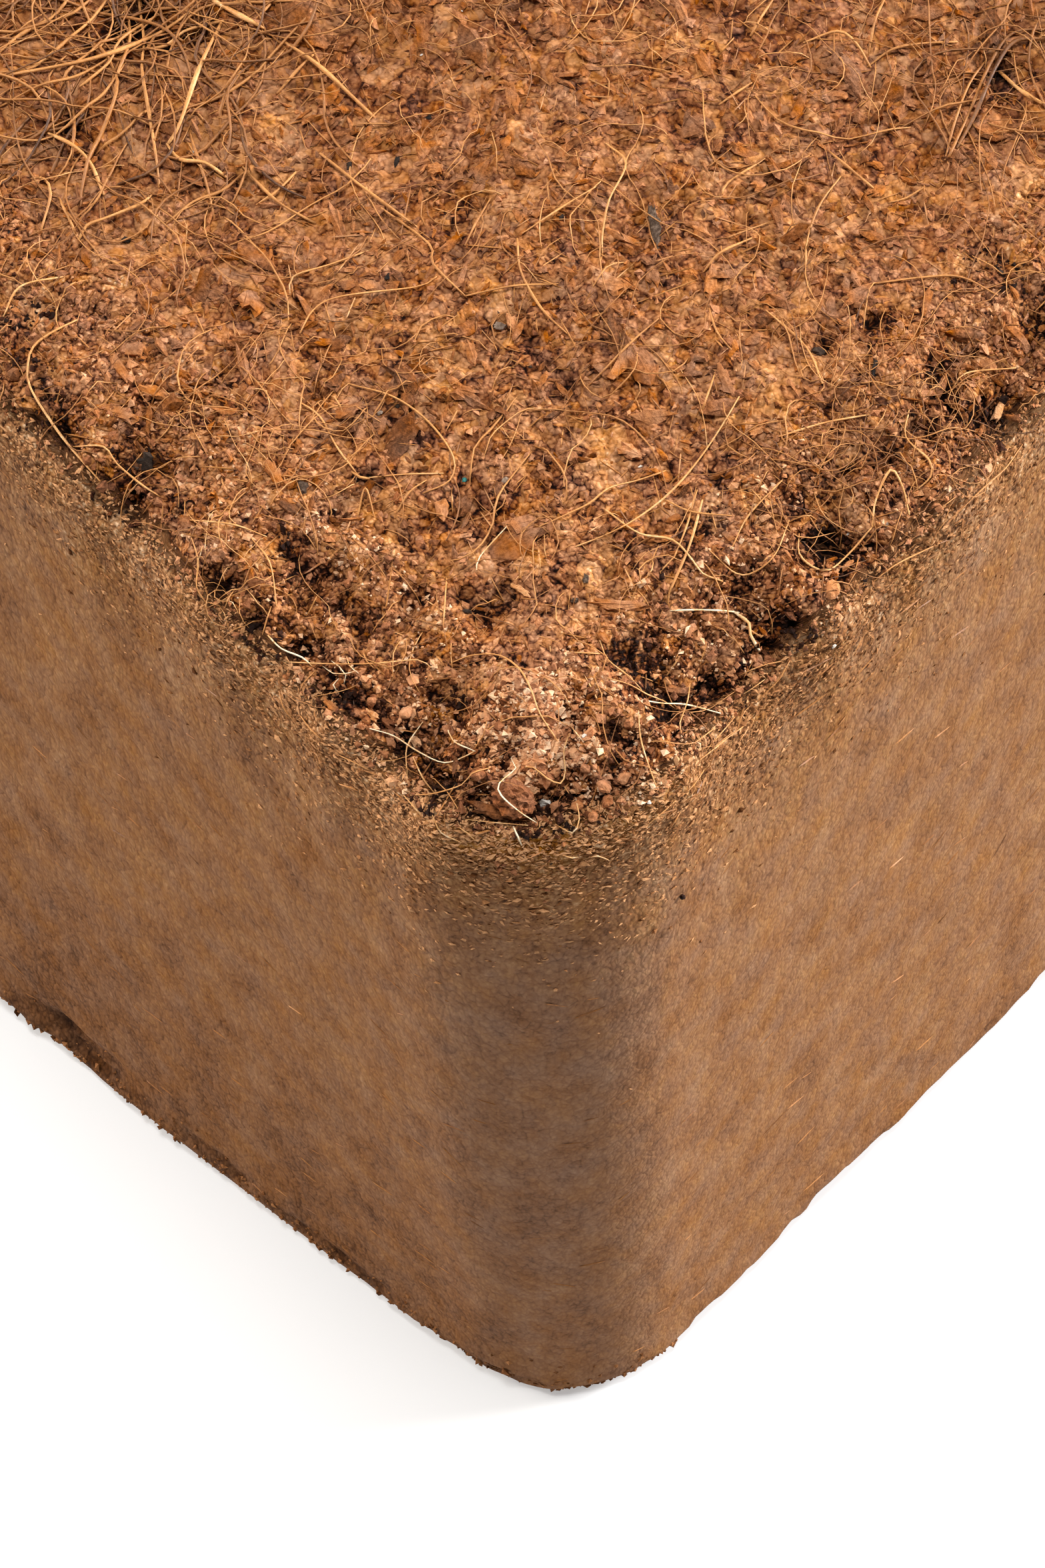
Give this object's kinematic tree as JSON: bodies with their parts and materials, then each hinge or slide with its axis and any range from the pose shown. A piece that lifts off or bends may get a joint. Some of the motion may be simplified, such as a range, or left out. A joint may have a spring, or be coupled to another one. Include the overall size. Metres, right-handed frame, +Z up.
{
  "type": "coconut coir bale",
  "caption": "Square block of compressed coconut coir pith with a rough fibrous top, smooth pressed sides and worn crumbly rims, for soaking into growing medium.",
  "frame": {"origin": "middle of the bale's footprint, on the surface that it rests on", "axes": "+Z up, through the bale's pressed height; +X and +Y square to its side faces; the pictured corner is the one at +X, -Y"},
  "size_m": [0.3029, 0.3154, 0.1344],
  "materials": {
    "pressed_coir": "dry matt pressed pith, granular, orange-brown on top and smoother tan on the sides",
    "coir_fibre": "loose golden husk fibres with a faint waxy sheen"
  },
  "bodies": {
    "root": {"bale": "pressed_coir"}
  },
  "joints": []
}
